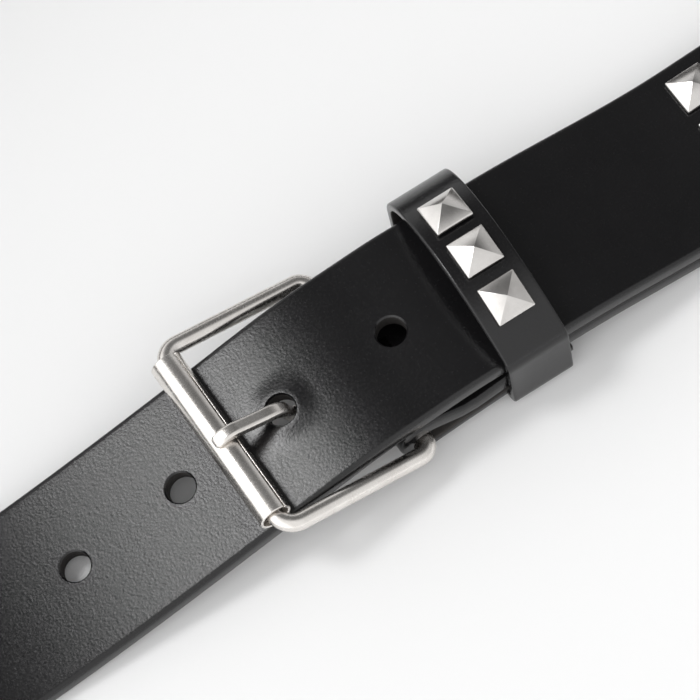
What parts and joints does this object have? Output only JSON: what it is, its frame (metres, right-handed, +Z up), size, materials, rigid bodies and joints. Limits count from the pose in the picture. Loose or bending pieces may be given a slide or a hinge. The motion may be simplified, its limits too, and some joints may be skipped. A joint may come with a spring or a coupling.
{
  "type": "studded belt",
  "caption": "Black leather belt fastened into a loop, with a roller buckle, an arched keeper and rows of pyramid studs; the buckle front lies flat, the rest on edge.",
  "frame": {"origin": "under the middle of the whole belt's box, on the surface it lies on", "axes": "+X along the strap from the free holes towards the strap's tip, +Y from the buckle front into the loop, +Z up"},
  "size_m": [0.4092, 0.1898, 0.0381],
  "materials": {
    "leather": "black, smooth, soft sheen",
    "studs": "polished nickel plate",
    "buckle_metal": "polished nickel plate",
    "rivets": "plain, hidden"
  },
  "bodies": {
    "belt": {"strap": "leather", "fold_rivet_1": "rivets", "fold_rivet_2": "rivets", "keeper": "leather", "keeper_stud_1": "studs", "keeper_stud_2": "studs", "keeper_stud_3": "studs", "buckle_frame": "buckle_metal", "buckle_prong": "buckle_metal", "tip_stud_1": "studs", "tip_stud_2": "studs", "tip_stud_3": "studs", "tip_stud_4": "studs", "tip_stud_5": "studs", "tip_stud_6": "studs", "tip_stud_7": "studs", "tip_stud_8": "studs", "tip_stud_9": "studs"},
    "roller": {"buckle_roller": "buckle_metal"}
  },
  "joints": [
    {"name": "roller_spin", "type": "hinge", "parent": "belt", "child": "roller", "pos_m": [-0.0389, -0.07018, 0.0149], "axis": [0, 1, 0], "continuous": true}
  ]
}
